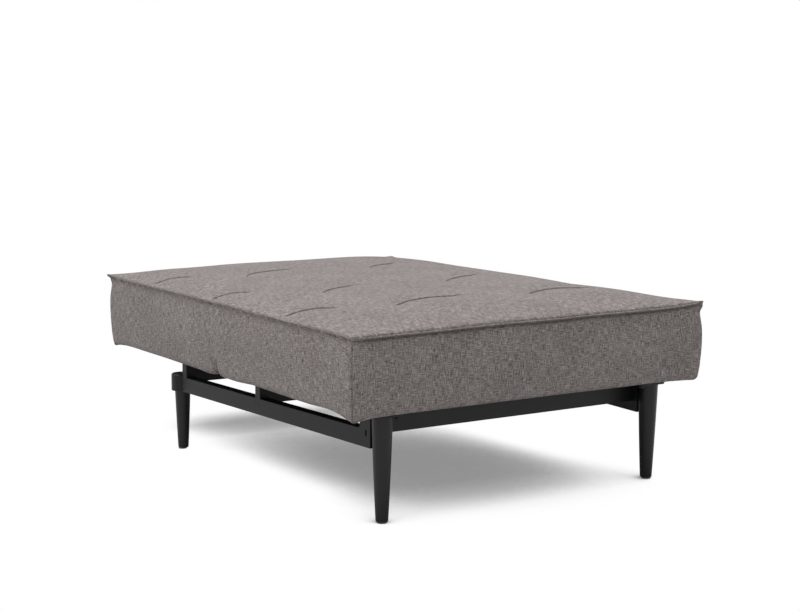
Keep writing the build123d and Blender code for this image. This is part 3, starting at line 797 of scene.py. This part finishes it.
def make_melange():
    """Plain weave of mottled yarn: each thread changes shade along its length."""
    tree, given, result = effect(
        "melange_weave",
        (
            ("Place", VECTOR, None),
            ("Threads", FLOAT, 700.0),
            ("Dark", COLOR, rgb(0.1, 0.09, 0.08)),
            ("Middle", COLOR, rgb(0.28, 0.25, 0.24)),
            ("Light", COLOR, rgb(0.5, 0.48, 0.45)),
            ("Relief", FLOAT, 0.3),
        ),
        (("Color", COLOR), ("Normal", VECTOR)),
    )
    parts = put(tree, "ShaderNodeSeparateXYZ", {"Vector": given["Place"]}).outputs
    across = compute(tree, "MULTIPLY", parts[0], given["Threads"])
    along = compute(tree, "MULTIPLY", parts[1], given["Threads"])
    row = compute(tree, "SINE", compute(tree, "MULTIPLY", across, pi))
    column = compute(tree, "SINE", compute(tree, "MULTIPLY", along, pi))
    over = compute(tree, "GREATER_THAN", compute(tree, "MULTIPLY", row, column), 0.0)
    over = remap(tree, over, 0.0, 1.0, THREAD_SHOW, 1 - THREAD_SHOW)
    yarns = []
    for stretch in YARN_STRETCHES:
        drawn_out = scaled(tree, given["Place"], stretch)
        yarns.append(speckle(tree, drawn_out, YARN_SCALE, YARN_DETAIL, YARN_ROUGHNESS))
    shade = put(tree, "ShaderNodeMix", {"Factor": over, "A": yarns[0], "B": yarns[1]}).outputs[0]
    patches = speckle(tree, given["Place"], PATCH_SCALE, PATCH_DETAIL)
    shade = compute(tree, "ADD", swing(tree, shade, YARN_CONTRAST), NOISE_MIDDLE)
    shade = compute(tree, "ADD", shade, swing(tree, patches, PATCH_CONTRAST))
    dark_share = remap(tree, shade, *DARK_TO_MIDDLE, 1.0, 0.0)
    light_share = remap(tree, shade, *MIDDLE_TO_LIGHT)
    color = mix_colors(tree, dark_share, given["Middle"], given["Dark"])
    color = mix_colors(tree, light_share, color, given["Light"])
    crest = compute(tree, "MULTIPLY", compute(tree, "ABSOLUTE", row), compute(tree, "ABSOLUTE", column))
    crest = compute(tree, "MULTIPLY", crest, CREST_RELIEF)
    height = compute(tree, "ADD", crest, compute(tree, "MULTIPLY", shade, YARN_RELIEF))
    relief = {"Strength": given["Relief"], "Distance": WEAVE_DEPTH, "Height": height}
    tree.links.new(color, result["Color"])
    tree.links.new(put(tree, "ShaderNodeBump", relief).outputs[0], result["Normal"])
    return tree


# The grain: its depth, how it varies the roughness, and broad patches round a shade of their own
GRAIN_DETAIL = 2.0
GRAIN_DEPTH = 0.0003
GRAIN_ROUGHNESS = 0.18
BROAD_SCALE = 14.0
BROAD_DETAIL = 3.0
BROAD_MIDDLE = 0.45
BROAD_CONTRAST = 0.35
# How sharp an edge is where it begins to be rubbed, and where it is fully so
RUBBED_EDGES = (0.53, 0.62)
SOFT_EDGE_SAMPLES = 4


def make_grain():
    """Fine grain of a sprayed or moulded surface, with softened edges."""
    tree, given, result = effect(
        "fine_grain",
        (
            ("Base", COLOR, rgb(0.02, 0.02, 0.02)),
            ("Worn", COLOR, rgb(0.05, 0.05, 0.05)),
            ("Scale", FLOAT, 900.0),
            ("Stretch", VECTOR, (1, 1, 1)),
            ("Roughness", FLOAT, 0.45),
            ("Relief", FLOAT, 0.15),
            ("Edge", FLOAT, 0.0008),
        ),
        (("Color", COLOR), ("Roughness", FLOAT), ("Normal", VECTOR)),
    )
    place = scaled(tree, put(tree, "ShaderNodeTexCoord").outputs["Object"], given["Stretch"])
    fine = speckle(tree, place, given["Scale"], GRAIN_DETAIL)
    broad = speckle(tree, place, BROAD_SCALE, BROAD_DETAIL)
    rounding = {"Radius": given["Edge"]}
    soft_edge = put(tree, "ShaderNodeBevel", rounding, samples=SOFT_EDGE_SAMPLES).outputs[0]
    relief = {"Strength": given["Relief"], "Distance": GRAIN_DEPTH, "Height": fine, "Normal": soft_edge}
    point = put(tree, "ShaderNodeNewGeometry").outputs["Pointiness"]
    rubbed = compute(tree, "MULTIPLY", remap(tree, point, *RUBBED_EDGES), broad, clamp=True)
    mottle = compute(tree, "MAXIMUM", swing(tree, broad, BROAD_CONTRAST, BROAD_MIDDLE), 0.0)
    worn = compute(tree, "ADD", rubbed, mottle, clamp=True)
    spread = swing(tree, fine, GRAIN_ROUGHNESS)
    tree.links.new(mix_colors(tree, worn, given["Base"], given["Worn"]), result["Color"])
    tree.links.new(compute(tree, "ADD", given["Roughness"], spread, clamp=True), result["Roughness"])
    tree.links.new(put(tree, "ShaderNodeBump", relief).outputs[0], result["Normal"])
    return tree


# Finishes
CLOTH_ROUGHNESS = 0.92
CLOTH_SPECULAR = 0.15
SHEEN_ROUGHNESS = 0.6


def grained(name, metal=0.0, specular=0.5, **values):
    """A sprayed, moulded, turned or plated surface."""
    material, tree, shader = shader_tree(name)
    finish = use(tree, fine_grain, **values)
    tree.links.new(finish.outputs["Color"], shader.inputs["Base Color"])
    tree.links.new(finish.outputs["Roughness"], shader.inputs["Roughness"])
    tree.links.new(finish.outputs["Normal"], shader.inputs["Normal"])
    shader.inputs["Metallic"].default_value = metal
    shader.inputs["Specular IOR Level"].default_value = specular
    return material


def woven(name, place, sheen, **values):
    """A cloth, darker with painted shade where the mesh says that shade lies in a crease or seam."""
    material, tree, shader = shader_tree(name)
    spot = put(tree, "ShaderNodeTexCoord").outputs[place]
    cloth = use(tree, melange_weave, Place=spot, **values)
    # Painted shade: the colour is drawn towards the dark yarn colour where the mesh marks shade in creases,
    # the valley, the flange and the groove
    painted_darkness = put(tree, "ShaderNodeAttribute", attribute_name="painted_seam_shade").outputs["Fac"]
    color = mix_colors(tree, painted_darkness, cloth.outputs["Color"], values["Dark"])
    tree.links.new(color, shader.inputs["Base Color"])
    tree.links.new(cloth.outputs["Normal"], shader.inputs["Normal"])
    shader.inputs["Roughness"].default_value = CLOTH_ROUGHNESS
    shader.inputs["Specular IOR Level"].default_value = CLOTH_SPECULAR
    shader.inputs["Sheen Weight"].default_value = sheen
    shader.inputs["Sheen Roughness"].default_value = SHEEN_ROUGHNESS
    return material


melange_weave = make_melange()
fine_grain = make_grain()
finishes = {
    "upholstery": woven(
        "taupe_melange",
        "UV",
        sheen=0.12,
        Dark=rgb(0.075, 0.062, 0.057),
        Middle=rgb(0.275, 0.2325, 0.2245),
        Light=rgb(0.555, 0.525, 0.5),
        Relief=0.35,
    ),
    "lining": woven(
        "black_lining",
        "Object",
        sheen=0.05,
        Threads=1400.0,
        Dark=rgb(0.008, 0.008, 0.008),
        Middle=rgb(0.018, 0.018, 0.018),
        Light=rgb(0.035, 0.035, 0.035),
        Relief=0.2,
    ),
    "webbing": woven(
        "elastic_webbing",
        "Object",
        sheen=0.05,
        Threads=900.0,
        Dark=rgb(0.012, 0.012, 0.012),
        Middle=rgb(0.03, 0.03, 0.03),
        Light=rgb(0.06, 0.06, 0.058),
        Relief=0.4,
    ),
    "black_steel": grained(
        "black_powder_coat",
        specular=0.3,
        Base=rgb(0.009, 0.009, 0.009),
        Worn=rgb(0.016, 0.016, 0.016),
        Scale=1100.0,
        Roughness=0.46,
        Relief=0.25,
        Edge=0.0012,
    ),
    "turned_wood": grained(
        "black_lacquered_wood",
        specular=0.35,
        Base=rgb(0.009, 0.0085, 0.008),
        Worn=rgb(0.02, 0.019, 0.018),
        Scale=260.0,
        Stretch=(6.0, 6.0, 0.35),
        Roughness=0.4,
        Relief=0.2,
        Edge=0.0006,
    ),
    "glide": grained(
        "grey_glides",
        Base=rgb(0.16, 0.16, 0.155),
        Worn=rgb(0.24, 0.24, 0.23),
        Scale=1500.0,
        Roughness=0.6,
        Relief=0.2,
    ),
    "plated_steel": grained(
        "zinc_plate",
        metal=1.0,
        Base=rgb(0.42, 0.42, 0.42),
        Worn=rgb(0.6, 0.6, 0.59),
        Scale=1300.0,
        Roughness=0.36,
        Relief=0.15,
        Edge=0.0005,
    ),
}


# The floor: its half size, its cells, and its colour in the light and in reflections
FLOOR_REACH = 40
FLOOR_CELLS = 8
FLOOR_GREY = rgb(0.5, 0.5, 0.5)
FLOOR_PALE = rgb(0.9, 0.9, 0.9)
# The painted shadow on the floor, from ambient occlusion: how far off the bed still shades it, and the way
# the floor looks for the bed
SHADE_REACH = 0.6
SHADE_WAY = (0.0, 0.625, 0.781)
SHADE_SAMPLES = 24
# The painted shadow leans forward from a line across the floor, more on the right, within these bounds
LEAN_HALF_WIDTH = 0.6
LEAN_FRONT = -0.8
LEAN_REAR = 0.22
LEAN_FROM_Y = -0.2
LEAN_TWIST = 0.51
LEAN_MIDDLE = 0.285
# From the front zone's first y to its last: the pull to the left, and how clear it keeps of the sides
FRONT_ZONE = (-0.55, -0.3)
LEFT_PULL = (0.15, 0.02)
SIDE_CLEAR = (0.0, 10.0)
SIDE_CLEAR_POWER = 4.0
# Behind the bed the painted shadow darkens again over the rear zone
REAR_ZONE = (0.28, 0.45)
REAR_GROWTH = (0.0, -0.2)
# From how open the floor is to how bright it looks
OPENNESS = (0.205, 0.43)
BRIGHTNESS = (0.28, 1.0)


def floor_brightness(tree):
    """How bright the camera sees the floor: overexposed white, with the bed's soft shadow painted on it."""
    sky = {"Distance": SHADE_REACH, "Normal": SHADE_WAY}
    level = put(tree, "ShaderNodeAmbientOcclusion", sky, samples=SHADE_SAMPLES).outputs["AO"]
    position = put(tree, "ShaderNodeNewGeometry").outputs["Position"]
    x, y = put(tree, "ShaderNodeSeparateXYZ", {"Vector": position}).outputs[:2]
    sideways = {"Value": x, "Min": -LEAN_HALF_WIDTH, "Max": LEAN_HALF_WIDTH}
    lengthways = {"Value": y, "Min": LEAN_FRONT, "Max": LEAN_REAR}
    across = put(tree, "ShaderNodeClamp", sideways).outputs[0]
    along = put(tree, "ShaderNodeClamp", lengthways).outputs[0]
    twist = compute(tree, "ADD", compute(tree, "MULTIPLY", across, LEAN_TWIST), LEAN_MIDDLE)
    lean = swing(tree, along, twist, LEAN_FROM_Y)
    pull = compute(tree, "MULTIPLY", across, remap(tree, along, *FRONT_ZONE, *LEFT_PULL))
    far_out = compute(tree, "POWER", compute(tree, "ABSOLUTE", across), SIDE_CLEAR_POWER)
    clear = compute(tree, "MULTIPLY", remap(tree, along, *FRONT_ZONE, *SIDE_CLEAR), far_out)
    for share in (lean, pull, clear, remap(tree, y, *REAR_ZONE, *REAR_GROWTH)):
        level = compute(tree, "ADD", level, share)
    return remap(tree, level, *OPENNESS, *BRIGHTNESS)


def make_floor():
    """A wide floor, grey to the light and pale in reflections; the camera sees it glow white, with only the
    painted shadow on it.
    """
    bm = bmesh.new()
    bmesh.ops.create_grid(bm, x_segments=FLOOR_CELLS, y_segments=FLOOR_CELLS, size=FLOOR_REACH)
    floor = new_object("floor", bm)
    material, tree, shader = shader_tree("floor_white")
    seen = put(tree, "ShaderNodeLightPath").outputs
    color = mix_colors(tree, seen["Is Glossy Ray"], FLOOR_GREY, FLOOR_PALE)
    tree.links.new(color, shader.inputs["Base Color"])
    shader.inputs["Roughness"].default_value = 1.0
    shader.inputs["Specular IOR Level"].default_value = 0.0
    # The camera sees the floor glow, darkened by the painted shadow
    bright = put(tree, "ShaderNodeEmission", {"Strength": floor_brightness(tree)}).outputs[0]
    either = {0: seen["Is Camera Ray"], 1: shader.outputs[0], 2: bright}
    shown = put(tree, "ShaderNodeMixShader", either).outputs[0]
    tree.links.new(shown, tree.nodes["Material Output"].inputs["Surface"])
    dress(floor, material)


# Light: the even light of the studio, how bright the camera sees it, and a lamp with the way towards it
STUDIO_LIGHT = 0.5
STUDIO_SEEN = 1.0
LAMP_STRENGTH = 1.9
LAMP_SPREAD = radians(55)
LAMP_WAY = Vector((-0.19, 0.28, 1.0))


def make_light():
    """An even white studio and one broad soft lamp above the bed."""
    world = bpy.data.worlds.new("studio")
    bpy.context.scene.world = world
    world.use_nodes = True
    tree = world.node_tree
    background = tree.nodes["Background"]
    seen = put(tree, "ShaderNodeLightPath").outputs["Is Camera Ray"]
    strength = put(tree, "ShaderNodeMix", {"Factor": seen, "A": STUDIO_LIGHT, "B": STUDIO_SEEN})
    background.inputs["Color"].default_value = rgb(1, 1, 1)
    tree.links.new(strength.outputs[0], background.inputs["Strength"])
    lamp = bpy.data.lights.new("softbox", "SUN")
    lamp.energy = LAMP_STRENGTH
    lamp.angle = LAMP_SPREAD
    softbox = bpy.data.objects.new("softbox", lamp)
    bpy.context.scene.collection.objects.link(softbox)
    softbox.rotation_euler = LAMP_WAY.to_track_quat("Z", "Y").to_euler()


# Camera, matched to the photograph: turned to the right, tipped down and hardly rolled
YAW, PITCH, ROLL = 0.51115, 0.12041, -0.00458
CAMERA_PLACE = (-1.74842, -2.68917, 0.73868)
FOCAL_LENGTH = 59.61
SENSOR_WIDTH = 36.0
SENSOR_SHIFT = 0.13764
NEAREST = 0.05
FARTHEST = 200.0


def make_camera():
    """The camera in the place from which the photograph was taken."""
    ahead = Vector((sin(YAW) * cos(PITCH), cos(YAW) * cos(PITCH), -sin(PITCH)))
    level = ahead.cross(Vector((0, 0, 1))).normalized()
    upward = level.cross(ahead)
    right = level * cos(ROLL) + upward * sin(ROLL)
    top = upward * cos(ROLL) - level * sin(ROLL)
    lens = bpy.data.cameras.new("camera")
    lens.sensor_width = SENSOR_WIDTH
    lens.lens = FOCAL_LENGTH
    lens.shift_x = SENSOR_SHIFT
    lens.clip_start = NEAREST
    lens.clip_end = FARTHEST
    camera = bpy.data.objects.new("camera", lens)
    bpy.context.scene.collection.objects.link(camera)
    turn = Matrix((right, top, -ahead)).transposed()
    camera.matrix_world = Matrix.Translation(CAMERA_PLACE) @ turn.to_4x4()
    bpy.context.scene.camera = camera


# Making
for part in frame["record"]["subparts"]:
    node = frame["nodes"][part["node"]]
    for place in range(len(node.material_slots)):
        node.material_slots[place].material = finishes[part["material_slot"]]
    if not node.material_slots:
        node.data.materials.append(finishes[part["material_slot"]])

cover = make_cover()
dress(cover, finishes["upholstery"])
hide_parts("seat_cushion", "back_cushion")
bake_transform(cover)
for name, node in (("turned_front_legs", "front_legs"), ("turned_rear_legs", "rear_legs")):
    dress(make_legs(name, node), finishes["turned_wood"])

make_floor()
make_light()
make_camera()
bpy.context.scene.view_settings.view_transform = "Standard"
